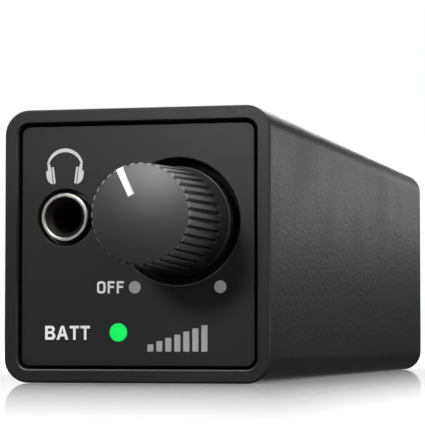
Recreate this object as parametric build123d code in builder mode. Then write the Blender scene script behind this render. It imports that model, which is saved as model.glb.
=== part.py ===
"""Belt-pack headphone amplifier: volume knob, 3.5 mm phones socket, combined XLR and 6.35 mm input.

Millimetres. +Z up, -Y is the front with the knob, +Y the rear with the input. The origin is on the surface
that the amplifier stands on, under the middle of the sleeve. Heights called "above the panel" run from the
face of the recessed front panel towards the front.
"""

import os
from math import cos, radians, sin, sqrt

from build123d import *

os.makedirs("parts", exist_ok=True)

# ---------------------------------------------------------------- driving dimensions
WIDTH = 34.0
HEIGHT = 34.0
LENGTH = 122.0
WALL = 1.7
CORNER_R = 3.1
EDGE_R = 0.3
FRONT = -LENGTH / 2
REAR = LENGTH / 2
MID_Z = HEIGHT / 2

PANEL_RECESS = 0.5
PANEL_GAP = 0.4
PANEL_T = 2.0
PANEL_SIZE = WIDTH - 2 * WALL - 2 * PANEL_GAP
PANEL_R = 1.1
PANEL_FACE = FRONT + PANEL_RECESS
PANEL_BACK = PANEL_FACE + PANEL_T
LEDGE_T = 1.5
LEDGE_W = 1.0

KNOB_X = 5.2
KNOB_Z = 19.85
KNOB_TURN = -25.0
KNOB_FACE_R = 5.97
KNOB_FOOT_R = 6.66
KNOB_SKIRT_R = 6.87
KNOB_H = 17.2
KNOB_CROWN = 0.3
KNOB_FLAT_R = 0.4
KNOB_SKIRT_H = 0.5
KNOB_SUNK = 2.4
RIDGES = 36
RIDGE_FOOT_H = 4.0
RIDGE_FOOT_R = 6.47
GROOVE_W = 0.54
GROOVE_FLANK = 38.0
GROOVE_FRONT_R = 5.66
GROOVE_FOOT_R = 5.92
WELL_R = 7.83
WELL_DEPTH = 3.0
WELL_WALL = 1.07
WELL_FLOOR = 1.2

JACK_X = -9.2
JACK_Z = 20.5
JACK_HOLE_R = 3.55
JACK_NOSE_R = 3.04
JACK_BORE_R = 1.8
JACK_MOUTH_R = 2.52

LED_X = -2.35
LED_Z = 6.25
LED_R = 1.13

SHAFT_R = 3.0
BUSHING_R = 3.5
RUNNING_FIT = 0.05
POT_W = 9.8
POT_H = 11.4

BOARD_T = 1.6
BOARD_Z = 14.9
BOARD_W = 29.2
FRONT_BOARD_Y = -46.2
REAR_BOARD_Y = 28.0

CELL_R = 5.25
CELL_L = 43.5
CELL_NUB_R = 1.9
CELL_NUB_H = 1.0
CELL_X = 5.6
CELL_Z = 7.4
TRAY_FRONT = -37.0
TRAY_REAR = 17.5
TRAY_END = 2.0
TRAY_WALL = 1.0
TRAY_W = 26.8
TRAY_TOP = 14.2

DOOR_W = 24.0
DOOR_FRONT = -35.75
DOOR_REAR = 16.25
DOOR_GAP = 0.25
DOOR_R = 2.0
DOOR_HINGE_R = 0.4

COMBO_Z = 19.2
COMBO_R = 11.3
COMBO_BORE_R = 9.6
COMBO_CORE_R = 7.9
COMBO_DEPTH = 16.0
COMBO_BACK = 28.2
TRS_BORE_R = 3.25
PIN_CIRCLE_R = 5.1
COMBO_SCREW_X = 11.7
COMBO_SCREW_Z = 10.9

SWITCH_Z = 4.9
SWITCH_TRAVEL = 2.0

SCREW_X = 12.7
SCREW_Z = (4.3, 29.7)
SCREW_SPOTS = [(x, z) for x in (-SCREW_X, SCREW_X) for z in SCREW_Z]

CLIP_T = 0.9
CLIP_W = 14.0
CLIP_GAP = 6.4
CLIP_Z = 19.0
CLIP_FRONT = -32.0
CLIP_REAR = 14.0
CLIP_SCREWS_Y = (-20.0, 4.0)


def across(y):
    """Sketch plane across the length at y: local x is X, local y is Z, the normal points to the front."""
    return Plane.XZ.offset(-y)


def lengthwise(x, z):
    """Sketch plane through an axis along Y at (x, z): local x is X from the axis, and local y is Y."""
    return Plane(origin=(x, 0, z), x_dir=(1, 0, 0), z_dir=(0, 0, 1))


def along_y(x, z):
    """Axis along Y at (x, z)."""
    return Axis((x, 0, z), (0, 1, 0))


def above_panel(height):
    """Y of a point that stands this high above the front panel's face."""
    return PANEL_FACE - height


def door_outline(gap):
    """Outline of the battery door, or with a gap of its opening: nearly square corners at the hinge end."""
    with BuildSketch(Plane.XY) as outline:
        with Locations((0, (DOOR_FRONT + DOOR_REAR) / 2)):
            Rectangle(DOOR_W + 2 * gap, DOOR_REAR - DOOR_FRONT + 2 * gap)
        fillet(outline.vertices().group_by(Axis.Y)[0], DOOR_HINGE_R)
        fillet(outline.vertices().group_by(Axis.Y)[-1], DOOR_R + gap)
    return outline.sketch


def save(piece, name):
    """Labels a finished piece and writes its STEP file."""
    piece.part.label = name
    export_step(piece.part, f"parts/{name}.step")


# ---------------------------------------------------------------- housing
CAVITY_W = WIDTH - 2 * WALL
CAVITY_R = CORNER_R - WALL
MOUTH_CHAMFER = 0.15
BOSS_R = 2.8
BOSS_L = 11.0
PILOT_R = 1.0
RAIL_GAP = 0.1
RAIL_H = 1.05
CLIP_PILOT_R = 1.1
HINGE_PIN_R = 0.45
HINGE_PIN_L = 1.2
HINGE_Z = 0.75
HINGE_Y = DOOR_FRONT + HINGE_Z

with BuildPart() as sleeve:
    with BuildSketch(across(REAR)):
        with Locations((0, MID_Z)):
            RectangleRounded(WIDTH, HEIGHT, CORNER_R)
    extrude(amount=LENGTH)
    fillet(sleeve.edges().group_by(Axis.Y)[0] + sleeve.edges().group_by(Axis.Y)[-1], EDGE_R)
    with BuildSketch(across(REAR)):
        with Locations((0, MID_Z)):
            RectangleRounded(CAVITY_W, CAVITY_W, CAVITY_R)
    extrude(amount=LENGTH, mode=Mode.SUBTRACT)
    # chamfered mouths at both ends
    mouth_w = CAVITY_W + 2 * MOUTH_CHAMFER
    for y, inward in ((FRONT, -MOUTH_CHAMFER), (REAR, MOUTH_CHAMFER)):
        with BuildSketch(across(y)):
            with Locations((0, MID_Z)):
                RectangleRounded(mouth_w, mouth_w, CAVITY_R + MOUTH_CHAMFER)
        extrude(amount=inward, taper=45, mode=Mode.SUBTRACT)
    # ledge that the front panel rests on
    with BuildSketch(across(PANEL_BACK + LEDGE_T)):
        with Locations((0, MID_Z)):
            RectangleRounded(CAVITY_W + 0.4, CAVITY_W + 0.4, CAVITY_R + 0.2)
            RectangleRounded(CAVITY_W - 2 * LEDGE_W, CAVITY_W - 2 * LEDGE_W, 1.0, mode=Mode.SUBTRACT)
    extrude(amount=LEDGE_T)
    # bosses for the rear panel's screws
    with BuildSketch(across(REAR - PANEL_RECESS - PANEL_T)):
        with Locations(*SCREW_SPOTS):
            Circle(BOSS_R)
    extrude(amount=BOSS_L)
    with BuildSketch(across(REAR - PANEL_RECESS - PANEL_T)):
        with Locations(*SCREW_SPOTS):
            Circle(PILOT_R)
    extrude(amount=BOSS_L - 1.5, mode=Mode.SUBTRACT)
    # rails that hold the main board's long edges
    with BuildSketch(across(REAR_BOARD_Y - BOARD_T - 0.5)):
        for side in (-1, 1):
            for z in (BOARD_Z - RAIL_GAP - RAIL_H / 2, BOARD_Z + BOARD_T + RAIL_GAP + RAIL_H / 2):
                with Locations((side * (CAVITY_W / 2 - 0.75), z)):
                    Rectangle(1.9, RAIL_H)
    extrude(amount=REAR_BOARD_Y - BOARD_T - 0.5 - (FRONT_BOARD_Y + BOARD_T + 0.5))
    # opening for the battery door
    with BuildSketch(Plane.XY):
        add(door_outline(DOOR_GAP))
    extrude(amount=WALL, mode=Mode.SUBTRACT)
    # pilot holes for the belt clip's screws
    with BuildSketch(Plane.YZ.offset(-WIDTH / 2)):
        with Locations(*[(y, CLIP_Z) for y in CLIP_SCREWS_Y]):
            Circle(CLIP_PILOT_R)
    extrude(amount=WALL, mode=Mode.SUBTRACT)
    # blind holes for the battery door's hinge pins
    with BuildSketch(Plane.YZ):
        with Locations((HINGE_Y, HINGE_Z)):
            Circle(HINGE_PIN_R + RUNNING_FIT)
    extrude(amount=DOOR_W / 2 + HINGE_PIN_L + 0.1, both=True, mode=Mode.SUBTRACT)
save(sleeve, "sleeve")

# ---------------------------------------------------------------- front panel
LIGHT_PIPE_FIT = 0.03
SNAP_W = 6.0
SNAP_T = 0.9
SNAP_REACH = PANEL_BACK + LEDGE_T
SNAP_NOSE = 0.45

with BuildPart() as front_panel:
    with BuildSketch(across(PANEL_BACK)):
        with Locations((0, MID_Z)):
            RectangleRounded(PANEL_SIZE, PANEL_SIZE, PANEL_R)
    extrude(amount=PANEL_T)
    fillet(front_panel.edges().group_by(Axis.Y)[0], 0.12)
    # cup that the knob's skirt sinks into
    with BuildSketch(across(PANEL_FACE + WELL_DEPTH + WELL_FLOOR)):
        with Locations((KNOB_X, KNOB_Z)):
            Circle(WELL_R + WELL_WALL)
    extrude(amount=WELL_DEPTH + WELL_FLOOR - PANEL_T / 2)
    with BuildSketch(across(PANEL_FACE + WELL_DEPTH)):
        with Locations((KNOB_X, KNOB_Z)):
            Circle(WELL_R)
    extrude(amount=WELL_DEPTH, mode=Mode.SUBTRACT)
    well_rim = front_panel.edges().filter_by(GeomType.CIRCLE).group_by(Axis.Y)[0].sort_by(SortBy.RADIUS)[-1]
    chamfer(well_rim, 0.15)
    with BuildSketch(across(PANEL_FACE + WELL_DEPTH + WELL_FLOOR)):
        with Locations((KNOB_X, KNOB_Z)):
            Circle(BUSHING_R + 0.1)
    extrude(amount=WELL_FLOOR, mode=Mode.SUBTRACT)
    # holes for the phones socket and the light pipe
    with BuildSketch(across(PANEL_BACK)):
        with Locations((JACK_X, JACK_Z)):
            Circle(JACK_HOLE_R)
        with Locations((LED_X, LED_Z)):
            Circle(LED_R + LIGHT_PIPE_FIT)
    extrude(amount=PANEL_T, mode=Mode.SUBTRACT)
    jack_rim = front_panel.edges().filter_by(GeomType.CIRCLE).group_by(Axis.Y)[0].sort_by(SortBy.RADIUS)
    jack_rim = [edge for edge in jack_rim if abs(edge.radius - JACK_HOLE_R) < 0.01]
    chamfer(jack_rim, 0.12)
    # four snap arms that hook behind the ledge
    for turn in (0, 90, 180, 270):
        arm_plane = Plane(origin=(0, 0, MID_Z), x_dir=(cos(radians(turn)), 0, sin(radians(turn))),
                          z_dir=(-sin(radians(turn)), 0, cos(radians(turn))))
        arm_x = CAVITY_W / 2 - LEDGE_W - 0.15
        with BuildSketch(arm_plane.offset(-SNAP_W / 2 + 8.5)):
            with BuildLine():
                Polyline((arm_x - SNAP_T, PANEL_BACK - 0.3), (arm_x, PANEL_BACK - 0.3),
                         (arm_x, SNAP_REACH + 0.1), (arm_x + SNAP_NOSE, SNAP_REACH + 0.1),
                         (arm_x, SNAP_REACH + 1.4), (arm_x - SNAP_T, SNAP_REACH + 1.4), close=True)
            make_face()
        extrude(amount=SNAP_W)
save(front_panel, "front_panel")

# ---------------------------------------------------------------- volume control
KNOB_FACE = above_panel(KNOB_H)
KNOB_CAVITY_R = 5.8
KNOB_CAVITY_TOP = 1.0
KNOB_HUB_R = 4.2
KNOB_CORE_R = 4.9
KNOB_CORE_TOP = 14.0
SHAFT_TOP = 12.0
FLAT_OFFSET = 1.5
FLAT_BOTTOM = 0.9
POINTER_W = 0.88
POINTER_IN = 2.4
POINTER_SEAT = 1.2
POINTER_SUNK = 0.35
POT_FRONT = PANEL_FACE + WELL_DEPTH + WELL_FLOOR
POT_SPLIT = -52.0
POT_REAR = FRONT_BOARD_Y
ROTOR_R = 4.1
CHAMBER_R = 4.4
CHAMBER_FRONT = POT_FRONT + 0.9
TRACK_FRONT = -52.75
SHAFT_END = -53.4


def knob_plane(height):
    """Sketch plane on the knob's axis, this high above the panel: local y points along the pointer."""
    turn = radians(-KNOB_TURN)
    centre = (KNOB_X, above_panel(height), KNOB_Z)
    return Plane(origin=centre, x_dir=(cos(turn), 0, sin(turn)), z_dir=(0, -1, 0))


# one groove between two ridges, standing on the axis Z
with BuildPart() as groove:
    with BuildSketch(Plane.XZ):
        with BuildLine():
            Polyline((GROOVE_FRONT_R, KNOB_H + 1.0), (KNOB_FACE_R + 1.0, KNOB_H + 1.0),
                     (KNOB_FACE_R + 1.5, RIDGE_FOOT_H), (RIDGE_FOOT_R, RIDGE_FOOT_H),
                     (GROOVE_FOOT_R, RIDGE_FOOT_H + 0.25), close=True)
        make_face()
    extrude(amount=GROOVE_W / 2, both=True, taper=GROOVE_FLANK)

with BuildPart() as knob:
    with BuildSketch(lengthwise(KNOB_X, KNOB_Z)):
        with BuildLine():
            crown_r = ((KNOB_FACE_R - 0.22) ** 2 + KNOB_CROWN**2) / (2 * KNOB_CROWN)
            face_edge = (KNOB_FACE_R - 0.22, above_panel(KNOB_H - KNOB_CROWN))
            face_middle = (KNOB_FLAT_R, KNOB_FACE + crown_r - sqrt(crown_r**2 - KNOB_FLAT_R**2))
            RadiusArc(face_middle, face_edge, -crown_r)
            Polyline(face_edge, (KNOB_FACE_R, above_panel(KNOB_H - KNOB_CROWN - 0.3)),
                     (RIDGE_FOOT_R, above_panel(RIDGE_FOOT_H)), (KNOB_FOOT_R, above_panel(KNOB_SKIRT_H)),
                     (KNOB_FOOT_R + 0.1, above_panel(KNOB_SKIRT_H - 0.15)),
                     (KNOB_SKIRT_R, above_panel(-KNOB_SUNK)), (KNOB_CAVITY_R, above_panel(-KNOB_SUNK)),
                     (KNOB_CAVITY_R, above_panel(KNOB_CAVITY_TOP)),
                     (KNOB_CORE_R + 0.3, above_panel(KNOB_CAVITY_TOP)),
                     (KNOB_CORE_R, above_panel(KNOB_CORE_TOP)), (KNOB_HUB_R, above_panel(KNOB_CORE_TOP)),
                     (KNOB_HUB_R, above_panel(KNOB_CAVITY_TOP)), (0, above_panel(KNOB_CAVITY_TOP)),
                     (0, face_middle[1]), face_middle)
        make_face()
    revolve(axis=along_y(KNOB_X, KNOB_Z))
    with Locations(knob_plane(0)):
        with PolarLocations(0, RIDGES):
            add(groove.part, mode=Mode.SUBTRACT)
    # D-shaped bore for the shaft
    with BuildSketch(knob_plane(KNOB_CAVITY_TOP)):
        Circle(SHAFT_R + 0.03)
        with Locations((0, -FLAT_OFFSET - 0.03 - SHAFT_R)):
            Rectangle(3 * SHAFT_R, 2 * SHAFT_R, mode=Mode.SUBTRACT)
    extrude(amount=SHAFT_TOP - KNOB_CAVITY_TOP + 0.2, mode=Mode.SUBTRACT)
    # slot for the pointer, open at the rim
    with BuildSketch(knob_plane(KNOB_H)):
        with Locations((0, POINTER_IN + 2.5)):
            Rectangle(POINTER_W, 5.0)
    extrude(amount=-POINTER_SEAT, mode=Mode.SUBTRACT)
save(knob, "knob")

with BuildPart() as pointer:
    with BuildSketch(knob_plane(KNOB_H - POINTER_SEAT)):
        Circle(KNOB_FACE_R - 0.05)
        with Locations((0, POINTER_IN + 2.5)):
            Rectangle(POINTER_W, 5.0, mode=Mode.INTERSECT)
    extrude(amount=POINTER_SEAT - POINTER_SUNK)
save(pointer, "knob_pointer")

with BuildPart() as pot_shaft:
    with BuildSketch(knob_plane(SHAFT_TOP)):
        Circle(SHAFT_R)
    extrude(amount=-(SHAFT_END - above_panel(SHAFT_TOP)))
    chamfer(pot_shaft.edges().group_by(Axis.Y)[0], 0.4)
    with BuildSketch(knob_plane(SHAFT_TOP)):
        with Locations((0, -FLAT_OFFSET - SHAFT_R)):
            Rectangle(3 * SHAFT_R, 2 * SHAFT_R)
    extrude(amount=-(SHAFT_TOP - FLAT_BOTTOM), mode=Mode.SUBTRACT)
    # tail that works the switch
    with BuildSketch(across(-50.0)):
        with Locations((KNOB_X, KNOB_Z)):
            Circle(1.5)
    extrude(amount=-50.0 - SHAFT_END)
save(pot_shaft, "volume_shaft")

with BuildPart() as wiper:
    with BuildSketch(knob_plane(PANEL_FACE - CHAMBER_FRONT - 1.2)):
        Circle(ROTOR_R)
        Circle(SHAFT_R, mode=Mode.SUBTRACT)
    extrude(amount=1.0)
    # two sprung fingers that ride on the track
    with BuildSketch(knob_plane(PANEL_FACE - TRACK_FRONT + 0.15)):
        with Locations((0, 3.55)):
            with GridLocations(1.0, 0, 2, 1):
                Rectangle(0.5, 0.7)
    extrude(amount=TRACK_FRONT - 0.15 - CHAMBER_FRONT - 0.9)
save(wiper, "volume_wiper")

with BuildPart() as pot_bushing:
    with BuildSketch(across(POT_FRONT)):
        with Locations((KNOB_X, KNOB_Z)):
            Circle(BUSHING_R)
            Circle(SHAFT_R + RUNNING_FIT, mode=Mode.SUBTRACT)
    extrude(amount=POT_FRONT - above_panel(0.3))
    chamfer(pot_bushing.edges().group_by(Axis.Y)[0].sort_by(SortBy.RADIUS)[-1], 0.2)
save(pot_bushing, "volume_bushing")

WASHER_T = 0.5
NUT_T = 2.0
NUT_AF = 9.0
with BuildPart() as pot_washer:
    with BuildSketch(across(PANEL_FACE + WELL_DEPTH)):
        with Locations((KNOB_X, KNOB_Z)):
            Circle(5.0)
            Circle(BUSHING_R + 0.03, mode=Mode.SUBTRACT)
    extrude(amount=WASHER_T)
save(pot_washer, "volume_washer")

with BuildPart() as pot_nut:
    with BuildSketch(across(PANEL_FACE + WELL_DEPTH - WASHER_T)):
        with Locations((KNOB_X, KNOB_Z)):
            RegularPolygon(NUT_AF / 2, 6, major_radius=False)
            Circle(BUSHING_R + 0.02, mode=Mode.SUBTRACT)
    extrude(amount=NUT_T)
save(pot_nut, "volume_nut")

with BuildPart() as pot_body:
    with BuildSketch(across(POT_SPLIT)):
        with Locations((KNOB_X, KNOB_Z)):
            RectangleRounded(POT_W, POT_H, 0.6)
    extrude(amount=POT_SPLIT - POT_FRONT)
    with BuildSketch(across(POT_SPLIT)):
        with Locations((KNOB_X, KNOB_Z)):
            Circle(CHAMBER_R)
    extrude(amount=POT_SPLIT - CHAMBER_FRONT, mode=Mode.SUBTRACT)
    with BuildSketch(across(POT_SPLIT)):
        with Locations((KNOB_X, KNOB_Z)):
            Circle(SHAFT_R + 0.1)
    extrude(amount=POT_SPLIT - POT_FRONT, mode=Mode.SUBTRACT)
save(pot_body, "volume_pot_body")

with BuildPart() as pot_track:
    with BuildSketch(across(POT_SPLIT)):
        with Locations((KNOB_X, KNOB_Z)):
            Circle(CHAMBER_R)
            Circle(1.6, mode=Mode.SUBTRACT)
    extrude(amount=POT_SPLIT - TRACK_FRONT)
save(pot_track, "volume_track")

with BuildPart() as pot_switch:
    with BuildSketch(across(POT_REAR)):
        with Locations((KNOB_X, KNOB_Z)):
            RectangleRounded(POT_W - 0.4, POT_H - 0.4, 0.6)
    extrude(amount=POT_REAR - POT_SPLIT)
    with BuildSketch(across(POT_SPLIT)):
        with Locations((KNOB_X, KNOB_Z)):
            Circle(2.6)
    extrude(amount=-2.6, mode=Mode.SUBTRACT)
save(pot_switch, "power_switch_body")

POT_PINS = [(KNOB_X - 2.5, KNOB_Z - 4.6), (KNOB_X, KNOB_Z - 4.6), (KNOB_X + 2.5, KNOB_Z - 4.6),
            (KNOB_X - 2.5, KNOB_Z + 4.6), (KNOB_X + 2.5, KNOB_Z + 4.6)]
with BuildPart() as pot_terminals:
    with BuildSketch(across(FRONT_BOARD_Y + BOARD_T + 0.2)):
        with Locations(*POT_PINS):
            Circle(0.4)
    extrude(amount=BOARD_T + 0.2)
save(pot_terminals, "volume_terminals")

# ---------------------------------------------------------------- phones socket
JACK_SPLIT = -57.6
JACK_BODY = 7.8
JACK_BORE_END = -46.7
JACK_CONTACT_T = 0.3

with BuildPart() as jack_bushing:
    with BuildSketch(lengthwise(JACK_X, JACK_Z)):
        with BuildLine():
            Polyline((JACK_MOUTH_R, FRONT + 0.12), (JACK_MOUTH_R + 0.12, FRONT),
                     (JACK_NOSE_R - 0.15, FRONT), (JACK_NOSE_R, FRONT + 0.15),
                     (JACK_NOSE_R, PANEL_BACK + 0.1), (3.7, PANEL_BACK + 0.1), (3.7, JACK_SPLIT),
                     (JACK_BORE_R + 0.05, JACK_SPLIT), (JACK_BORE_R + 0.05, FRONT + 1.3), close=True)
        make_face()
    revolve(axis=along_y(JACK_X, JACK_Z))
save(jack_bushing, "phones_socket_bushing")

with BuildPart() as jack_body:
    with BuildSketch(across(FRONT_BOARD_Y)):
        with Locations((JACK_X, JACK_Z)):
            RectangleRounded(JACK_BODY, JACK_BODY, 0.5)
    extrude(amount=FRONT_BOARD_Y - JACK_SPLIT)
    with BuildSketch(across(JACK_BORE_END)):
        with Locations((JACK_X, JACK_Z)):
            Circle(JACK_BORE_R + 0.05)
    extrude(amount=JACK_BORE_END - JACK_SPLIT, mode=Mode.SUBTRACT)
    # slots for the tip and ring contacts
    with BuildSketch(across(FRONT_BOARD_Y)):
        with Locations((JACK_X, JACK_Z)):
            with PolarLocations(2.6, 2, 45):
                Rectangle(1.6, 1.1)
    extrude(amount=8.5, mode=Mode.SUBTRACT)
save(jack_body, "phones_socket_body")

with BuildPart() as contact_leaf:
    with BuildSketch(Plane.XZ):
        with BuildLine():
            Polyline((3.1, 0), (2.0, -3.0), (1.9, -4.2), (2.0, -5.4), (2.3, -7.5),
                     (2.3 + JACK_CONTACT_T, -7.5), (2.0 + JACK_CONTACT_T, -5.3),
                     (1.9 + JACK_CONTACT_T, -4.2), (2.0 + JACK_CONTACT_T, -3.05),
                     (3.1 + JACK_CONTACT_T, -0.05), (3.1 + JACK_CONTACT_T, 2.3), (3.1, 2.3), close=True)
        make_face()
    extrude(amount=0.4, both=True)

with BuildPart() as jack_contacts:
    with Locations(Plane(origin=(JACK_X, FRONT_BOARD_Y, JACK_Z), x_dir=(1, 0, 0), z_dir=(0, 1, 0))):
        with PolarLocations(0, 2, -45):
            add(contact_leaf.part)
save(jack_contacts, "phones_socket_contacts")

# ---------------------------------------------------------------- battery light
LED_FRONT = FRONT_BOARD_Y - 1.0

with BuildPart() as light_pipe:
    with BuildSketch(across(LED_FRONT - 0.1)):
        with Locations((LED_X, LED_Z)):
            Circle(LED_R)
    extrude(amount=LED_FRONT - 0.1 - PANEL_FACE)
    fillet(light_pipe.edges().group_by(Axis.Y)[0], 0.12)
    with BuildSketch(across(PANEL_BACK + 1.0)):
        with Locations((LED_X, LED_Z)):
            Circle(LED_R + 0.6)
    extrude(amount=1.0)
save(light_pipe, "light_pipe")

with BuildPart() as battery_led:
    with BuildSketch(across(FRONT_BOARD_Y)):
        with Locations((LED_X, LED_Z)):
            RectangleRounded(2.8, 3.5, 0.3)
    extrude(amount=1.0)
save(battery_led, "battery_led")

# ---------------------------------------------------------------- circuit boards
FRONT_BOARD_BACK = FRONT_BOARD_Y + BOARD_T
INPUT_BOARD_FRONT = REAR_BOARD_Y - BOARD_T
BOARD_FRONT = FRONT_BOARD_BACK + 0.3
BOARD_REAR = INPUT_BOARD_FRONT - 0.3
HEADER_PITCH = 2.54
HEADER_PINS = 5
HEADER_Z = BOARD_Z + BOARD_T + 1.27
HEADER_DROP = 1.8
PIN_W = 0.64
XLR_ANGLES = (30, 150, 270)
XLR_SPOTS = [(PIN_CIRCLE_R * cos(radians(a)), COMBO_Z + PIN_CIRCLE_R * sin(radians(a))) for a in XLR_ANGLES]
TRS_ANGLES = (90, 210, 330)
TRS_TAIL_R = 4.35
TRS_SPOTS = [(TRS_TAIL_R * cos(radians(a)), COMBO_Z + TRS_TAIL_R * sin(radians(a))) for a in TRS_ANGLES]
TAB_W = 2.2
TAB_HOLE = (2.8, 0.9)
PLATE_T = 0.3
CELL_SPACE_FRONT = TRAY_FRONT + TRAY_END
CELL_SPACE_REAR = TRAY_REAR - TRAY_END
TABS = [(0, CELL_SPACE_FRONT + PLATE_T / 2), (-CELL_X, CELL_SPACE_REAR - PLATE_T / 2),
        (CELL_X, CELL_SPACE_REAR - PLATE_T / 2)]

with BuildPart() as front_board:
    with BuildSketch(across(FRONT_BOARD_BACK)):
        with Locations((0, MID_Z)):
            RectangleRounded(28.6, 27.6, 1.0)
        with Locations(*POT_PINS):
            Circle(0.45, mode=Mode.SUBTRACT)
        with Locations((JACK_X, JACK_Z)):
            with PolarLocations(3.25, 4, 45):
                Circle(0.6, mode=Mode.SUBTRACT)
        with Locations((0, HEADER_Z)):
            with GridLocations(HEADER_PITCH, 0, HEADER_PINS, 1):
                Circle(0.5, mode=Mode.SUBTRACT)
    extrude(amount=BOARD_T)
save(front_board, "front_board")

with BuildPart() as main_board:
    with BuildSketch(Plane.XY.offset(BOARD_Z)):
        with Locations((0, (BOARD_FRONT + BOARD_REAR) / 2)):
            Rectangle(BOARD_W, BOARD_REAR - BOARD_FRONT)
        for y in (BOARD_FRONT + HEADER_DROP, BOARD_REAR - HEADER_DROP):
            with Locations((0, y)):
                with GridLocations(HEADER_PITCH, 0, HEADER_PINS, 1):
                    Circle(0.5, mode=Mode.SUBTRACT)
        with Locations(*TABS):
            Rectangle(*TAB_HOLE, mode=Mode.SUBTRACT)
    extrude(amount=BOARD_T)
save(main_board, "main_board")

with BuildPart() as input_board:
    with BuildSketch(across(REAR_BOARD_Y)):
        with Locations((0, 18.0)):
            RectangleRounded(28.6, 25.6, 1.0)
        with Locations(*XLR_SPOTS, *TRS_SPOTS):
            Circle(0.55, mode=Mode.SUBTRACT)
        with Locations((0, HEADER_Z)):
            with GridLocations(HEADER_PITCH, 0, HEADER_PINS, 1):
                Circle(0.5, mode=Mode.SUBTRACT)
    extrude(amount=BOARD_T)
save(input_board, "input_board")

# angled headers that join the upright boards to the main board
with BuildPart() as headers:
    for y in (FRONT_BOARD_BACK + 0.01, INPUT_BOARD_FRONT - 1.51):
        with BuildSketch(across(y + 1.5)):
            with Locations((0, HEADER_Z)):
                Rectangle(HEADER_PITCH * HEADER_PINS, 2.5)
        extrude(amount=1.5)
        with BuildSketch(across(y + 1.5)):
            with Locations((0, HEADER_Z)):
                with GridLocations(HEADER_PITCH, 0, HEADER_PINS, 1):
                    Rectangle(PIN_W, PIN_W)
        extrude(amount=1.5, mode=Mode.SUBTRACT)
save(headers, "header_blocks")

with BuildPart() as header_pins:
    for outer, drop in ((FRONT_BOARD_Y + 0.05, BOARD_FRONT + HEADER_DROP),
                        (REAR_BOARD_Y + 0.1, BOARD_REAR - HEADER_DROP)):
        reach = drop + (PIN_W / 2 if drop > outer else -PIN_W / 2)
        with BuildSketch(across(max(outer, reach))):
            with Locations((0, HEADER_Z)):
                with GridLocations(HEADER_PITCH, 0, HEADER_PINS, 1):
                    Rectangle(PIN_W, PIN_W)
        extrude(amount=abs(reach - outer))
        with BuildSketch(Plane.XY.offset(BOARD_Z - 0.6)):
            with Locations((0, drop)):
                with GridLocations(HEADER_PITCH, 0, HEADER_PINS, 1):
                    Rectangle(PIN_W, PIN_W)
        extrude(amount=HEADER_Z - BOARD_Z + 0.6)
save(header_pins, "header_pins")

BOARD_TOP = BOARD_Z + BOARD_T
# x, y, length, width and legs per side of the amplifier, input buffer and power chips
CHIPS = ((-6.0, -28.0, 10.2, 6.2, 8), (5.5, -30.0, 5.0, 4.0, 4), (6.0, 10.5, 8.6, 4.0, 7))
with BuildPart() as chips:
    for x, y, length, width, legs in CHIPS:
        with BuildSketch(Plane.XY.offset(BOARD_TOP + 0.15)):
            with Locations((x, y)):
                Rectangle(width, length)
        extrude(amount=1.5)
        with BuildSketch(Plane.XY.offset(BOARD_TOP)):
            with Locations((x, y)):
                with GridLocations(0, 1.2, 1, legs):
                    Rectangle(width + 2.0, 0.42)
        extrude(amount=0.3)
save(chips, "amplifier_chips")

with BuildPart() as capacitors:
    with BuildSketch(Plane.XY.offset(BOARD_TOP)):
        with Locations((-10.0, -12.0), (-3.0, -12.0), (-10.0, -4.5), (-3.0, -4.5), (10.0, -20.0)):
            Circle(3.15)
    extrude(amount=9.0)
    fillet(capacitors.edges().group_by(Axis.Z)[-1], 0.4)
save(capacitors, "electrolytic_capacitors")

with BuildPart() as small_parts:
    with BuildSketch(Plane.XY.offset(BOARD_TOP)):
        with Locations((8.0, -10.0), (-9.0, 7.5)):
            with GridLocations(3.4, 2.4, 3, 4):
                Rectangle(2.0, 1.25)
    extrude(amount=0.6)
save(small_parts, "chip_resistors")

with BuildPart() as inductor:
    with BuildSketch(Plane.XY.offset(BOARD_TOP)):
        with Locations((6.5, 1.0)):
            RectangleRounded(6.0, 6.0, 1.2)
    extrude(amount=3.0)
save(inductor, "boost_inductor")

# ---------------------------------------------------------------- battery compartment
with BuildPart() as tray:
    with BuildSketch(Plane.XY.offset(WALL)):
        with Locations((0, (TRAY_FRONT + TRAY_REAR) / 2)):
            RectangleRounded(TRAY_W, TRAY_REAR - TRAY_FRONT, 1.0)
    extrude(amount=TRAY_TOP - WALL)
    with BuildSketch(Plane.XY.offset(WALL)):
        with Locations((0, (CELL_SPACE_FRONT + CELL_SPACE_REAR) / 2)):
            Rectangle(TRAY_W - 2 * TRAY_WALL, CELL_SPACE_REAR - CELL_SPACE_FRONT)
    extrude(amount=TRAY_TOP - 1.0 - WALL, mode=Mode.SUBTRACT)
    # cradle between the cells
    with BuildSketch(across(8.0)):
        with BuildLine():
            Polyline((-2.4, TRAY_TOP - 1.0), (2.4, TRAY_TOP - 1.0), (0.3, 10.2), (-0.3, 10.2), close=True)
        make_face()
    extrude(amount=36.0)
    with BuildSketch(Plane.XY.offset(TRAY_TOP - 2.0)):
        with Locations(*TABS):
            Rectangle(*TAB_HOLE)
    extrude(amount=2.0, mode=Mode.SUBTRACT)
save(tray, "battery_tray")

LEFT_NUB = CELL_SPACE_REAR - PLATE_T
RIGHT_NUB = CELL_SPACE_FRONT + PLATE_T
for name, x, nub, way in (("battery_left", -CELL_X, LEFT_NUB, -1), ("battery_right", CELL_X, RIGHT_NUB, 1)):
    shoulder = nub + way * CELL_NUB_H
    base = shoulder + way * CELL_L
    with BuildPart() as cell:
        with BuildSketch(lengthwise(x, CELL_Z)):
            with BuildLine():
                Polyline((0, nub), (CELL_NUB_R, nub), (CELL_NUB_R, shoulder), (CELL_R - 0.4, shoulder),
                         (CELL_R, shoulder + way * 0.4), (CELL_R, base - way * 0.4), (CELL_R - 0.4, base),
                         (0, base), close=True)
            make_face()
        revolve(axis=along_y(x, CELL_Z))
    save(cell, name)

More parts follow.
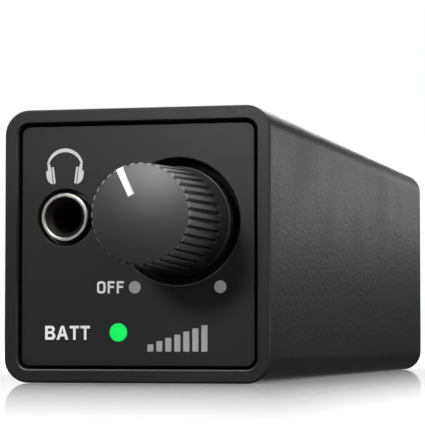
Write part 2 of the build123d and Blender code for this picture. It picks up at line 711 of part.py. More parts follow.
with BuildPart() as plates:
    with BuildSketch(across(CELL_SPACE_FRONT + PLATE_T)):
        with Locations((0, CELL_Z)):
            Rectangle(20.0, 8.0)
        with Locations((0, 13.5)):
            Rectangle(TAB_W, 7.6)
    extrude(amount=PLATE_T)
    with BuildSketch(across(CELL_SPACE_REAR)):
        for x in (-CELL_X, CELL_X):
            with Locations((x, CELL_Z)):
                Rectangle(8.0, 8.0)
            with Locations((x, 13.5)):
                Rectangle(TAB_W, 7.6)
    extrude(amount=PLATE_T)
save(plates, "battery_contacts")

SPRING_WIRE_R = 0.3
SPRING_L = CELL_SPACE_REAR - CELL_SPACE_FRONT - 2 * PLATE_T - CELL_NUB_H - CELL_L
SPRING_TURNS = 3.5
spring_run = SPRING_L - 2 * SPRING_WIRE_R - 0.04
with BuildPart() as spring:
    with BuildLine() as coil:
        Helix(pitch=spring_run / SPRING_TURNS, height=spring_run, radius=2.8)
    with BuildSketch(Plane(origin=coil.line @ 0, z_dir=coil.line % 0)):
        Circle(SPRING_WIRE_R)
    sweep(path=coil.line, is_frenet=True)

with BuildPart() as springs:
    front_seat = CELL_SPACE_FRONT + PLATE_T + SPRING_WIRE_R + 0.02
    rear_seat = CELL_SPACE_REAR - PLATE_T - SPRING_WIRE_R - 0.02
    with Locations(Plane(origin=(-CELL_X, front_seat, CELL_Z), x_dir=(1, 0, 0), z_dir=(0, 1, 0)),
                   Plane(origin=(CELL_X, rear_seat, CELL_Z), x_dir=(1, 0, 0), z_dir=(0, -1, 0))):
        add(spring.part)
save(springs, "battery_springs")

# ---------------------------------------------------------------- battery door
DOOR_T = 2 * HINGE_Z
with BuildPart() as door:
    with BuildSketch(Plane.XY):
        add(door_outline(0))
    extrude(amount=DOOR_T)
    # the front edge is rounded about the hinge pins
    with BuildSketch(Plane.YZ.offset(-DOOR_W / 2)):
        with Locations((DOOR_FRONT, HINGE_Z)):
            Rectangle(2 * HINGE_Z, 2 * DOOR_T)
        with Locations((HINGE_Y, HINGE_Z)):
            Circle(HINGE_Z, mode=Mode.SUBTRACT)
    extrude(amount=DOOR_W, mode=Mode.SUBTRACT)
    with BuildSketch(Plane.YZ):
        with Locations((HINGE_Y, HINGE_Z)):
            Circle(HINGE_PIN_R)
    extrude(amount=DOOR_W / 2 + HINGE_PIN_L, both=True)
    # finger notch and grip lines near the free end
    with BuildSketch(Plane.XY):
        with Locations((0, DOOR_REAR - 4.5)):
            with GridLocations(0, 1.6, 1, 4):
                SlotOverall(12.0, 0.7)
    extrude(amount=0.35, mode=Mode.SUBTRACT)
    # snap tongue on the free end
    with BuildSketch(Plane.XY.offset(DOOR_T)):
        with Locations((0, DOOR_REAR - 1.5)):
            Rectangle(8.0, 0.6)
    extrude(amount=1.7)
save(door, "battery_door")

with BuildPart() as foam:
    with BuildSketch(Plane.XY.offset(DOOR_T)):
        with Locations((0, -10.0)):
            RectangleRounded(20.0, 30.0, 1.0)
    extrude(amount=0.5)
save(foam, "battery_door_foam")

# ---------------------------------------------------------------- rear panel and input
PANEL_OUT = REAR - PANEL_RECESS
PANEL_IN = PANEL_OUT - PANEL_T
LATCH_W = 6.0
LATCH_Z = 29.6
LATCH_T = 1.3
LATCH_OUT = 1.4
NOSE_R = 10.6
SWITCH_SLOT_W = 4.4
SWITCH_SLOT_H = 2.4

with BuildPart() as rear_panel:
    with BuildSketch(across(PANEL_OUT)):
        with Locations((0, MID_Z)):
            RectangleRounded(PANEL_SIZE, PANEL_SIZE, PANEL_R)
        with Locations((0, COMBO_Z)):
            Circle(NOSE_R + 0.1, mode=Mode.SUBTRACT)
        with Locations((0, LATCH_Z - 1.0)):
            Rectangle(LATCH_W + 2.0, 4.8, mode=Mode.SUBTRACT)
        with Locations((0, SWITCH_Z)):
            RectangleRounded(SWITCH_SLOT_W, SWITCH_SLOT_H, 0.3, mode=Mode.SUBTRACT)
        with Locations(*SCREW_SPOTS, (-COMBO_SCREW_X, COMBO_SCREW_Z), (COMBO_SCREW_X, COMBO_SCREW_Z)):
            Circle(1.1, mode=Mode.SUBTRACT)
    extrude(amount=PANEL_T)
    fillet(rear_panel.faces().sort_by(Axis.Y)[-1].outer_wire().edges(), 0.12)
    for x, z in [*SCREW_SPOTS, (-COMBO_SCREW_X, COMBO_SCREW_Z), (COMBO_SCREW_X, COMBO_SCREW_Z)]:
        with BuildSketch(across(PANEL_OUT)):
            with Locations((x, z)):
                Circle(2.05)
        extrude(amount=1.0, taper=45, mode=Mode.SUBTRACT)
save(rear_panel, "rear_panel")

with BuildPart() as combo_housing:
    with BuildSketch(across(PANEL_IN - 0.02)):
        with Locations((0, COMBO_Z)):
            Circle(COMBO_R)
        with Locations((0, 28.0)):
            Rectangle(LATCH_W + 3.0, 6.6)
    extrude(amount=PANEL_IN - 0.02 - COMBO_BACK)
    # nose ring that shows through the panel
    with BuildSketch(across(PANEL_OUT)):
        with Locations((0, COMBO_Z)):
            Circle(NOSE_R)
        with Locations((0, LATCH_Z - 1.1)):
            Rectangle(LATCH_W + 1.8, 4.8)
    extrude(amount=PANEL_T + 0.02)
    # ears for the two screws
    with BuildSketch(across(PANEL_IN - 0.02)):
        for side in (-1, 1):
            with Locations((side * COMBO_SCREW_X, COMBO_SCREW_Z)):
                Circle(2.3)
            with Locations((side * (COMBO_SCREW_X - 2.5), COMBO_SCREW_Z + 0.6)):
                Rectangle(5.0, 3.4)
    extrude(amount=6.0)
    with BuildSketch(across(PANEL_OUT)):
        with Locations((0, COMBO_Z)):
            Circle(COMBO_BORE_R)
    extrude(amount=PANEL_OUT - COMBO_BACK - 0.8, mode=Mode.SUBTRACT)
    # slot that the release tab slides in
    with BuildSketch(across(PANEL_OUT)):
        with Locations((0, LATCH_Z - 0.4)):
            Rectangle(LATCH_W + 0.4, LATCH_T + 1.1)
    extrude(amount=18.0, mode=Mode.SUBTRACT)
    with BuildSketch(across(PANEL_IN)):
        with Locations((-COMBO_SCREW_X, COMBO_SCREW_Z), (COMBO_SCREW_X, COMBO_SCREW_Z)):
            Circle(PILOT_R)
    extrude(amount=6.5, mode=Mode.SUBTRACT)
    with BuildSketch(across(COMBO_BACK + 0.8)):
        with Locations(*XLR_SPOTS, *TRS_SPOTS):
            Circle(0.55)
    extrude(amount=0.8, mode=Mode.SUBTRACT)
save(combo_housing, "input_socket_housing")

CORE_FRONT = PANEL_OUT - 0.2
CORE_BACK = COMBO_BACK + 0.82
GAP_END = PANEL_OUT - COMBO_DEPTH
XLR_HOLE_R = 1.35
TRS_SLOT_W = 1.4
TRS_SLOT_L = 12.0
with BuildPart() as combo_core:
    with BuildSketch(across(CORE_FRONT)):
        with Locations((0, COMBO_Z)):
            Circle(COMBO_CORE_R)
    extrude(amount=CORE_FRONT - CORE_BACK)
    fillet(combo_core.edges().group_by(Axis.Y)[-1], 0.4)
    with BuildSketch(across(GAP_END)):
        with Locations((0, COMBO_Z)):
            Circle(COMBO_BORE_R - 0.05)
    extrude(amount=GAP_END - CORE_BACK)
    with BuildSketch(across(CORE_FRONT)):
        with Locations((0, COMBO_Z)):
            Circle(TRS_BORE_R)
        with Locations(*XLR_SPOTS):
            Circle(XLR_HOLE_R)
    extrude(amount=CORE_FRONT - CORE_BACK, mode=Mode.SUBTRACT)
    front_rims = combo_core.edges().filter_by(GeomType.CIRCLE).group_by(Axis.Y)[-1]
    chamfer([rim for rim in front_rims if abs(rim.radius - TRS_BORE_R) < 0.01], 0.2)
    # slots for the sprung contacts beside the middle bore
    with BuildSketch(across(CORE_BACK + TRS_SLOT_L)):
        with Locations((0, COMBO_Z)):
            with PolarLocations(TRS_BORE_R + 0.7, 3, 90):
                Rectangle(2.4, TRS_SLOT_W)
    extrude(amount=TRS_SLOT_L, mode=Mode.SUBTRACT)
save(combo_core, "input_socket_core")

with BuildPart() as xlr_contacts:
    with BuildSketch(across(CORE_FRONT - 1.0)):
        with Locations(*XLR_SPOTS):
            Circle(XLR_HOLE_R - 0.02)
            Circle(1.2, mode=Mode.SUBTRACT)
    extrude(amount=14.0)
    with BuildSketch(across(CORE_FRONT - 15.0)):
        with Locations(*XLR_SPOTS):
            Circle(XLR_HOLE_R - 0.02)
    extrude(amount=2.0)
    with BuildSketch(across(CORE_FRONT - 17.0)):
        with Locations(*XLR_SPOTS):
            Circle(0.5)
    extrude(amount=CORE_FRONT - 17.0 - INPUT_BOARD_FRONT + 0.7)
save(xlr_contacts, "input_xlr_contacts")

# sprung contact of the middle bore, standing on the axis Z with its tail downwards
with BuildPart() as trs_leaf:
    with BuildSketch(Plane.XZ):
        with BuildLine():
            Polyline((TRS_TAIL_R - 0.2, -2.5), (TRS_TAIL_R - 0.2, 2.0), (3.6, 7.0), (3.4, 8.4),
                     (3.9, 10.5), (4.25, 10.5), (3.75, 8.4), (3.95, 7.1), (TRS_TAIL_R + 0.2, 3.5),
                     (TRS_TAIL_R + 0.2, -2.5), close=True)
        make_face()
    extrude(amount=0.35, both=True)

with BuildPart() as trs_contacts:
    with Locations(Plane(origin=(0, CORE_BACK, COMBO_Z), x_dir=(-1, 0, 0), z_dir=(0, 1, 0))):
        with PolarLocations(0, 3, 90):
            add(trs_leaf.part)
save(trs_contacts, "input_trs_contacts")

with BuildPart() as latch:
    with BuildSketch(across(PANEL_OUT + LATCH_OUT)):
        with Locations((0, LATCH_Z)):
            Rectangle(LATCH_W, LATCH_T)
    extrude(amount=14.0)
    chamfer(latch.edges().group_by(Axis.Y)[-1], 0.25)
    with BuildSketch(Plane.YZ.offset(-1.0)):
        with BuildLine():
            Polyline((PANEL_OUT - 9.0, LATCH_Z), (PANEL_OUT - 6.0, LATCH_Z),
                     (PANEL_OUT - 8.0, LATCH_Z - 1.5), (PANEL_OUT - 9.0, LATCH_Z - 1.5), close=True)
        make_face()
    extrude(amount=2.0)
save(latch, "input_release_tab")

# ---------------------------------------------------------------- stereo and mono switch
SLIDER_W = 1.9
SLIDER_START = -SWITCH_TRAVEL / 2
SWITCH_BACK = 53.6
with BuildPart() as switch_body:
    with BuildSketch(across(PANEL_IN - 0.02)):
        with Locations((0, SWITCH_Z)):
            Rectangle(10.5, 4.8)
    extrude(amount=PANEL_IN - 0.02 - SWITCH_BACK)
    with BuildSketch(across(PANEL_IN)):
        with Locations((0, SWITCH_Z)):
            Rectangle(6.6, 3.0)
    extrude(amount=3.2, mode=Mode.SUBTRACT)
save(switch_body, "mode_switch_body")

with BuildPart() as slider:
    with BuildSketch(across(PANEL_IN - 0.15)):
        with Locations((SLIDER_START, SWITCH_Z)):
            Rectangle(4.0, 2.7)
    extrude(amount=2.6)
    with BuildSketch(across(PANEL_OUT + 0.9)):
        with Locations((SLIDER_START, SWITCH_Z)):
            Rectangle(SLIDER_W, 1.9)
    extrude(amount=PANEL_T + 1.2)
    chamfer(slider.edges().group_by(Axis.Y)[-1], 0.2)
save(slider, "mode_switch_slider")

# ---------------------------------------------------------------- screws
SHANK_R = PILOT_R - 0.02


def countersunk_screw(length):
    """Cross-head screw with a flush head: the head's face is on the plane Z = 0, the shank points down."""
    with BuildPart() as screw:
        with BuildSketch(Plane.XZ):
            with BuildLine():
                Polyline((0, 0), (1.95, 0), (SHANK_R, -0.97), (SHANK_R, -length + 0.6), (0.3, -length),
                         (0, -length), close=True)
            make_face()
        revolve(axis=Axis.Z)
        with BuildSketch():
            Rectangle(1.9, 0.4)
            Rectangle(0.4, 1.9)
        extrude(amount=-0.6, mode=Mode.SUBTRACT)
    return screw.part


def rear_plane(x, z):
    """Plane on the rear panel's outer face with its normal pointing to the rear."""
    return Plane(origin=(x, PANEL_OUT - 0.03, z), x_dir=(1, 0, 0), z_dir=(0, 1, 0))


with BuildPart() as rear_screws:
    with Locations(*[rear_plane(x, z) for x, z in SCREW_SPOTS]):
        add(countersunk_screw(9.0))
save(rear_screws, "rear_panel_screws")

with BuildPart() as combo_screws:
    with Locations(*[rear_plane(x, COMBO_SCREW_Z) for x in (-COMBO_SCREW_X, COMBO_SCREW_X)]):
        add(countersunk_screw(7.0))
save(combo_screws, "input_socket_screws")

# ---------------------------------------------------------------- belt clip
CLIP_IN = -WIDTH / 2
CLIP_BEND_R = CLIP_GAP / 2
CLIP_ARM_X = CLIP_IN - CLIP_T - CLIP_GAP
CLIP_BEND_Y = CLIP_FRONT + CLIP_BEND_R + CLIP_T

with BuildPart() as clip:
    with BuildSketch(Plane.XY.offset(CLIP_Z - CLIP_W / 2)):
        with BuildLine() as clip_line:
            inner = Polyline((CLIP_IN - CLIP_T / 2, CLIP_REAR + 4.0), (CLIP_IN - CLIP_T / 2, CLIP_BEND_Y))
            bend = TangentArc(inner @ 1, (CLIP_ARM_X - CLIP_T / 2, CLIP_BEND_Y), tangent=inner % 1)
            arm = Polyline(bend @ 1, (CLIP_ARM_X - CLIP_T / 2 + 1.0, CLIP_REAR),
                           (CLIP_ARM_X - CLIP_T / 2 - 0.2, CLIP_REAR + 5.0))
            offset(amount=CLIP_T / 2, side=Side.BOTH)
        make_face()
    extrude(amount=CLIP_W)
    # rounded corners at the free end and at the end of the strap
    with BuildSketch(Plane.YZ.offset(CLIP_ARM_X - 2 * CLIP_T)):
        with Locations(((CLIP_FRONT + CLIP_REAR) / 2, CLIP_Z)):
            RectangleRounded(CLIP_REAR - CLIP_FRONT + 10.0, CLIP_W, 3.0)
        with Locations((CLIP_FRONT, CLIP_Z)):
            Rectangle(20.0, CLIP_W)
    extrude(amount=CLIP_GAP + 4 * CLIP_T, mode=Mode.INTERSECT)
    with BuildSketch(Plane.YZ.offset(CLIP_IN)):
        with Locations(*[(y, CLIP_Z) for y in CLIP_SCREWS_Y]):
            Circle(CLIP_PILOT_R + 0.15)
    extrude(amount=-CLIP_T, mode=Mode.SUBTRACT)
save(clip, "belt_clip")

CLIP_HEAD_R = 2.2
CLIP_HEAD_H = 0.8
with BuildPart() as clip_screws:
    for y in CLIP_SCREWS_Y:
        with BuildSketch(Plane.YZ.offset(CLIP_IN - CLIP_T)):
            with Locations((y, CLIP_Z)):
                Circle(CLIP_HEAD_R)
        extrude(amount=-CLIP_HEAD_H)
    fillet(clip_screws.edges().group_by(Axis.X)[0], 0.3)
    for y in CLIP_SCREWS_Y:
        with BuildSketch(Plane.YZ.offset(CLIP_IN - CLIP_T - CLIP_HEAD_H)):
            with Locations((y, CLIP_Z)):
                Rectangle(2.4, 0.5)
                Rectangle(0.5, 2.4)
        extrude(amount=0.5, mode=Mode.SUBTRACT)
        with BuildSketch(Plane.YZ.offset(CLIP_IN - CLIP_T - 0.1)):
            with Locations((y, CLIP_Z)):
                Circle(CLIP_PILOT_R - 0.02)
        extrude(amount=CLIP_T + WALL + 0.7)
save(clip_screws, "belt_clip_screws")
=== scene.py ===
"""Looks of the belt-pack headphone amplifier: materials, printed marks, floor, lights and the camera.

Metres, in the CAD model's frame: +Z up, and -Y out of the front with the knob.
Tones are linear greys from 0 to 1.
"""
import math

import bmesh
import bpy
from mathutils import Matrix, Vector


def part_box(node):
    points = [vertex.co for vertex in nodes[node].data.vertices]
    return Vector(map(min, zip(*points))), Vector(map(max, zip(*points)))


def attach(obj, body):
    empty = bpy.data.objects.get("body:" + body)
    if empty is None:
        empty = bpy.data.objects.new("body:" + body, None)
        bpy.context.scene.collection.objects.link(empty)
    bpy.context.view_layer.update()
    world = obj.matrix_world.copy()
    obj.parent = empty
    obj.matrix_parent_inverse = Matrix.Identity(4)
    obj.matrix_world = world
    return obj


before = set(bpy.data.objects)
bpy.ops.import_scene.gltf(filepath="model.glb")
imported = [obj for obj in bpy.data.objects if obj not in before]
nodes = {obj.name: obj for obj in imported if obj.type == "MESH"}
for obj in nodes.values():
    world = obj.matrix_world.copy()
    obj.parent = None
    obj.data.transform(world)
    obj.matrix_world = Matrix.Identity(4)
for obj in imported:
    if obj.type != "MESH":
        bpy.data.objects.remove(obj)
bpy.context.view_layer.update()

MM = 0.001

# places taken from the CAD model
SLEEVE_LOW, SLEEVE_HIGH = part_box("sleeve")
FRONT_Y, BACK_Y = SLEEVE_LOW.y, SLEEVE_HIGH.y
SLEEVE_HALF = SLEEVE_HIGH.x
MID_Z = SLEEVE_HIGH.z / 2
PANEL_GAP = 0.4 * MM
CAVITY_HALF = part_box("front_panel")[1].x + PANEL_GAP
CAVITY_R = 1.4 * MM
PANEL_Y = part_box("front_panel")[0].y
REAR_FACE_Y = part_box("rear_panel")[1].y
KNOB_FACE_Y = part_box("knob")[0].y

# the knob's axis, the radius over its ridges at the face and at the foot, and its height, in millimetres
KNOB_X, KNOB_Z = 5.2, 19.85
KNOB_FACE_R, KNOB_FOOT_R, KNOB_H = 5.97, 6.66, 17.2

# painted shade on the walls inside the housing and the panel holes, and a painted highlight on their
# upward-facing edges
HOLLOW_SHADE_TONE = 0.003
EDGE_HIGHLIGHT_TONE = 0.06


# ---------------------------------------------------------------- node helpers
def new_material(name):
    """A material with its Principled shader: returns (material, tree, shader)."""
    material = bpy.data.materials.new(name)
    material.use_nodes = True
    tree = material.node_tree
    shader = tree.nodes["Principled BSDF"]
    return material, tree, shader


def bare_material(name):
    """A material with only its output node: returns (material, tree, surface input)."""
    material, tree, shader = new_material(name)
    tree.nodes.remove(shader)
    return material, tree, tree.nodes["Material Output"].inputs["Surface"]


def put(tree, kind, links=None, values=None, **settings):
    """Adds a node, sets its properties and input values, and links its inputs."""
    made = tree.nodes.new(kind)
    for key, value in settings.items():
        setattr(made, key, value)
    for key, value in (values or {}).items():
        made.inputs[key].default_value = value
    for key, source in (links or {}).items():
        tree.links.new(source, made.inputs[key])
    return made


def place(tree):
    """Coordinates in metres in the object's own frame."""
    return put(tree, "ShaderNodeTexCoord").outputs["Object"]


def xyz(tree, vector):
    """The three parts of a vector, by name."""
    return put(tree, "ShaderNodeSeparateXYZ", {0: vector}).outputs


def normal(tree):
    """The three parts of the surface's normal."""
    return xyz(tree, put(tree, "ShaderNodeNewGeometry").outputs["Normal"])


def noise(tree, at, scale, detail=3.0, rough=0.6):
    """A noise texture's value, mostly between 0.3 and 0.7."""
    made = put(tree, "ShaderNodeTexNoise", {"Vector": at},
               {"Scale": scale, "Detail": detail, "Roughness": rough})
    return made.outputs["Fac"]


def spread(tree, value, low, high, start=0.0, end=1.0):
    """Maps a value from start..end to low..high, held at both ends."""
    made = put(tree, "ShaderNodeMapRange", {"Value": value},
               {"From Min": start, "From Max": end, "To Min": low, "To Max": high})
    return made.outputs["Result"]


def vary(tree, texture, low, high):
    """Maps the usual range of a noise to low..high."""
    return spread(tree, texture, low, high, 0.3, 0.7)


def sums(tree, operation, a, b=0.0):
    """One arithmetic step on two sockets or numbers."""
    made = put(tree, "ShaderNodeMath", operation=operation)
    for i, part in enumerate((a, b)):
        if isinstance(part, (int, float)):
            made.inputs[i].default_value = part
        else:
            tree.links.new(part, made.inputs[i])
    return made.outputs[0]


def diagonal(tree, a, b):
    """Distance that two distances at right angles make together."""
    squares = sums(tree, "ADD", sums(tree, "POWER", a, 2.0), sums(tree, "POWER", b, 2.0))
    return sums(tree, "SQRT", squares)


def off_axis(tree, axes):
    """Distances from the sleeve's middle line, sideways and up or down."""
    across = sums(tree, "ABSOLUTE", axes["X"])
    upward = sums(tree, "ABSOLUTE", sums(tree, "SUBTRACT", axes["Z"], MID_Z))
    return across, upward


def grey(tone):
    """Colour of a grey tone."""
    return (tone, tone, tone)


def tint(tree, factor, dark, light):
    """Colour between two tones by a factor."""
    made = put(tree, "ShaderNodeMix", {"Factor": factor}, data_type="RGBA")
    made.inputs["A"].default_value = (*dark, 1.0)
    made.inputs["B"].default_value = (*light, 1.0)
    return made.outputs["Result"]


def overlay(tree, factor, colour, other):
    """A colour socket that turns to another, fixed colour by a factor."""
    made = put(tree, "ShaderNodeMix", {"Factor": factor, "A": colour}, data_type="RGBA")
    made.inputs["B"].default_value = (*other, 1.0)
    return made.outputs["Result"]


def bump(tree, height, strength, depth):
    """Normal of a surface that a height of 1 raises by the depth, when the strength is 1."""
    made = put(tree, "ShaderNodeBump", {"Height": height}, {"Strength": strength, "Distance": depth})
    return made.outputs["Normal"]


def mould_noise(tree, at):
    """Noises for the fine grain of a moulding and for the broad marks of handling."""
    return noise(tree, at, 2600.0), noise(tree, at, 90.0, 4.0)


def wire(tree, shader, colour, roughness, relief):
    """Links a shader's colour, roughness and bumped normal."""
    tree.links.new(colour, shader.inputs["Base Color"])
    tree.links.new(roughness, shader.inputs["Roughness"])
    tree.links.new(relief, shader.inputs["Normal"])


# ---------------------------------------------------------------- materials
def coated(name, tone, grain, roughness, cell=0.55 * MM, depth=0.03 * MM):
    """Powder coat with a leathery grain on the skin, smoother on the cut ends, and rougher with painted
    shade on the walls inside.

    A painted highlight lightens the upward-facing edges of the sleeve's mouths.
    """
    slack, highlight_lip = 0.02 * MM, 0.35 * MM
    material, tree, shader = new_material(name)
    at = place(tree)
    warp = put(tree, "ShaderNodeVectorMath", {0: at}, operation="ADD")
    wobble = put(tree, "ShaderNodeTexNoise", {"Vector": at}, {"Scale": 900.0, "Detail": 2.0})
    soft = put(tree, "ShaderNodeVectorMath", {0: wobble.outputs["Color"]}, operation="SCALE")
    soft.inputs["Scale"].default_value = 0.35 * MM
    tree.links.new(soft.outputs[0], warp.inputs[1])
    cells = put(tree, "ShaderNodeTexVoronoi", {"Vector": warp.outputs[0]}, {"Scale": 1.0 / cell},
                feature="SMOOTH_F1")
    fine = noise(tree, at, 4200.0)
    facing = normal(tree)
    end_face = sums(tree, "ABSOLUTE", facing["Y"])
    skin = spread(tree, end_face, grain, 0.25 * grain, 0.6, 0.9)
    height = sums(tree, "ADD", cells.outputs["Distance"], sums(tree, "MULTIPLY", fine, 0.35))
    height = sums(tree, "MULTIPLY", height, skin)
    patches = noise(tree, at, 60.0, 4.0, 0.55)
    colour = tint(tree, vary(tree, patches, 0.0, 1.0), grey(tone * 0.92), grey(tone * 1.08))
    across, upward = off_axis(tree, xyz(tree, at))
    past_side = sums(tree, "MAXIMUM", sums(tree, "SUBTRACT", across, CAVITY_HALF - CAVITY_R), 0.0)
    past_level = sums(tree, "MAXIMUM", sums(tree, "SUBTRACT", upward, CAVITY_HALF - CAVITY_R), 0.0)
    reach = diagonal(tree, past_side, past_level)
    inside = sums(tree, "LESS_THAN", reach, CAVITY_R + slack)
    # painted shade: the walls inside the sleeve's cavity are painted near black; they are also rougher
    colour = overlay(tree, inside, colour, grey(HOLLOW_SHADE_TONE))
    # painted highlight: the upward-facing chamfers round the sleeve's mouths are painted pale
    mouth = sums(tree, "MULTIPLY", sums(tree, "LESS_THAN", reach, CAVITY_R + highlight_lip),
                 spread(tree, end_face, 0.0, 1.0, 0.1, 0.3))
    painted_highlight = sums(tree, "MULTIPLY", mouth, spread(tree, facing["Z"], 0.0, 1.0, 0.3, 0.7))
    colour = overlay(tree, painted_highlight, colour, grey(EDGE_HIGHLIGHT_TONE))
    wear_and_painted_light = sums(tree, "ADD", vary(tree, fine, -0.04, 0.04), vary(tree, patches, -0.03, 0.03))
    wear_and_painted_light = sums(tree, "ADD", wear_and_painted_light, spread(tree, inside, roughness, 0.85))
    wire(tree, shader, colour, wear_and_painted_light, bump(tree, height, 1.0, depth))
    shader.inputs["Specular IOR Level"].default_value = 0.2
    return material


def moulded(name, colour, roughness):
    """Moulded plastic with a fine spark-eroded grain and faint handling marks."""
    material, tree, shader = new_material(name)
    at = place(tree)
    fine, broad = mould_noise(tree, at)
    darker = tuple(c * 0.94 for c in colour)
    lighter = tuple(c * 1.06 for c in colour)
    marks = sums(tree, "ADD", vary(tree, broad, -0.05, 0.05), vary(tree, fine, -0.03, 0.03))
    wire(tree, shader, tint(tree, vary(tree, broad, 0.0, 1.0), darker, lighter),
         sums(tree, "ADD", marks, roughness), bump(tree, fine, 1.0, 0.012 * MM))
    return material


def knob_plastic():
    """Satin face; ridges with painted light near the face that fades to painted shade at the foot, and
    painted shade in the grooves.
    """
    # painted light on the ridges near the face, painted shade at the foot and in the grooves
    lit_ridge_tone, shaded_foot_tone, shaded_groove_tone = 0.08, 0.008, 0.006
    # painted shade on end-on faces behind the face
    face_tone, shaded_end_wall_tone = 0.009, 0.002
    material, tree, shader = new_material("knob_plastic")
    at = place(tree)
    fine, broad = mould_noise(tree, at)
    end_on = sums(tree, "ABSOLUTE", normal(tree)["Y"])
    side = spread(tree, end_on, 1.0, 0.0, 0.75, 0.92)
    axes = xyz(tree, at)
    across = sums(tree, "SUBTRACT", axes["X"], KNOB_X * MM)
    upward = sums(tree, "SUBTRACT", axes["Z"], KNOB_Z * MM)
    back = sums(tree, "SUBTRACT", axes["Y"], KNOB_FACE_Y)
    ridge = spread(tree, back, KNOB_FACE_R * MM, KNOB_FOOT_R * MM, 0.0, KNOB_H * MM)
    below = sums(tree, "SUBTRACT", ridge, diagonal(tree, across, upward))
    sunk = spread(tree, below, 0.0, 1.0, 0.12 * MM, 0.28 * MM)
    # the ridges' painted light fades to painted shade towards the foot, with painted shade in the grooves
    # and on end-on faces behind the face
    wear_and_painted_light = spread(tree, back, lit_ridge_tone, shaded_foot_tone, 3.5 * MM, 12.0 * MM)
    ridged = put(tree, "ShaderNodeMix", {"Factor": sunk, "A": wear_and_painted_light}, {"B": shaded_groove_tone}).outputs["Result"]
    flat = spread(tree, back, face_tone, shaded_end_wall_tone, 1.0 * MM, 3.0 * MM)
    tone = put(tree, "ShaderNodeMix", {"Factor": side, "A": flat, "B": ridged}).outputs["Result"]
    tone = sums(tree, "MULTIPLY", tone, vary(tree, broad, 0.94, 1.06))
    colour = put(tree, "ShaderNodeCombineColor", {0: tone, 1: tone, 2: tone}).outputs[0]
    groove = sums(tree, "MULTIPLY", side, spread(tree, below, 0.0, 0.35, 0.03 * MM, 0.10 * MM))
    end_wall = sums(tree, "MULTIPLY", spread(tree, end_on, 0.0, 1.0, 0.5, 0.7),
                    spread(tree, back, 0.0, 0.68, 1.0 * MM, 3.0 * MM))
    marks = sums(tree, "ADD", vary(tree, broad, 0.335, 0.355), groove)
    marks = sums(tree, "ADD", marks, end_wall)
    wire(tree, shader, colour, marks, bump(tree, fine, 1.0, 0.002 * MM))
    return material


def panel_plastic(name, face_y, inward):
    """Black panel: satin on its face, rougher and with painted shade in its holes, and a painted highlight
    on their upward rims.
    """
    face_low, face_high, border = 0.0085, 0.0095, 1.5 * MM
    material, tree, shader = new_material(name)
    at = place(tree)
    fine, broad = mould_noise(tree, at)
    axes = xyz(tree, at)
    depth = sums(tree, "MULTIPLY", sums(tree, "SUBTRACT", axes["Y"], face_y), inward)
    sunk = spread(tree, depth, 0.0, 1.0, 0.2 * MM, 0.5 * MM)
    colour = tint(tree, vary(tree, broad, 0.0, 1.0), grey(face_low), grey(face_high))
    # painted shade in the holes, which are also rougher
    colour = overlay(tree, sunk, colour, grey(HOLLOW_SHADE_TONE))
    from_middle = sums(tree, "MAXIMUM", *off_axis(tree, axes))
    within = sums(tree, "LESS_THAN", from_middle, CAVITY_HALF - border)
    # painted highlight on the upward-facing rims of the holes
    rim = sums(tree, "MULTIPLY", within, spread(tree, depth, 1.0, 0.0, 0.14 * MM, 0.18 * MM))
    rim = sums(tree, "MULTIPLY", rim, spread(tree, normal(tree)["Z"], 0.0, 1.0, 0.1, 0.5))
    colour = overlay(tree, rim, colour, grey(EDGE_HIGHLIGHT_TONE))
    marks = sums(tree, "ADD", vary(tree, broad, -0.03, 0.03), vary(tree, fine, -0.03, 0.03))
    marks = sums(tree, "ADD", marks, spread(tree, sunk, 0.37, 0.8))
    wire(tree, shader, colour, marks, bump(tree, fine, 1.0, 0.003 * MM))
    shader.inputs["Specular IOR Level"].default_value = 0.2
    return material


def socket_metal(front_y):
    """Nickel ring of the phones socket: bright on its front rim; rougher and with painted shade inside and
    on its sides.
    """
    material, tree, shader = new_material("socket_nickel")
    at = place(tree)
    stains = noise(tree, at, 500.0, rough=0.5)
    depth = sums(tree, "SUBTRACT", xyz(tree, at)["Y"], front_y)
    # painted shade inside the socket and on the ring's sides, which are also rougher
    dull_and_shaded = spread(tree, depth, 0.0, 1.0, 0.08 * MM, 0.2 * MM)
    marks = sums(tree, "ADD", vary(tree, stains, -0.02, 0.02), spread(tree, dull_and_shaded, 0.34, 0.45))
    wire(tree, shader, tint(tree, dull_and_shaded, (0.27, 0.265, 0.25), (0.065, 0.058, 0.054)), marks,
         bump(tree, stains, 0.5, 0.001 * MM))
    shader.inputs["Metallic"].default_value = 1.0
    return material


def metal(name, colour, roughness, streak=None):
    """Plated or bare metal, with fine lathe or brushing lines across the axis that streak stretches."""
    material, tree, shader = new_material(name)
    at = place(tree)
    if streak is not None:
        stretch = put(tree, "ShaderNodeVectorMath", {0: at}, operation="MULTIPLY")
        stretch.inputs[1].default_value = streak
        lines = noise(tree, stretch.outputs[0], 1500.0)
    else:
        lines = noise(tree, at, 3000.0)
    stains = noise(tree, at, 350.0, 4.0)
    darker = tuple(c * 0.86 for c in colour)
    marks = sums(tree, "ADD", vary(tree, stains, -0.05, 0.08), vary(tree, lines, -0.05, 0.05))
    wire(tree, shader, tint(tree, spread(tree, stains, 0.0, 1.0, 0.35, 0.7), colour, darker),
         sums(tree, "ADD", marks, roughness), bump(tree, lines, 1.0, 0.004 * MM))
    shader.inputs["Metallic"].default_value = 1.0
    return material


def printed(name, tone):
    """Screen-printed ink: slightly uneven and matt."""
    material, tree, shader = new_material(name)
    speckle = noise(tree, place(tree), 5200.0, 2.0)
    colour = tint(tree, spread(tree, speckle, 0.0, 1.0, 0.35, 0.65), grey(tone * 0.93), grey(tone))
    wire(tree, shader, colour, spread(tree, speckle, 0.5, 0.62), bump(tree, speckle, 1.0, 0.003 * MM))
    return material


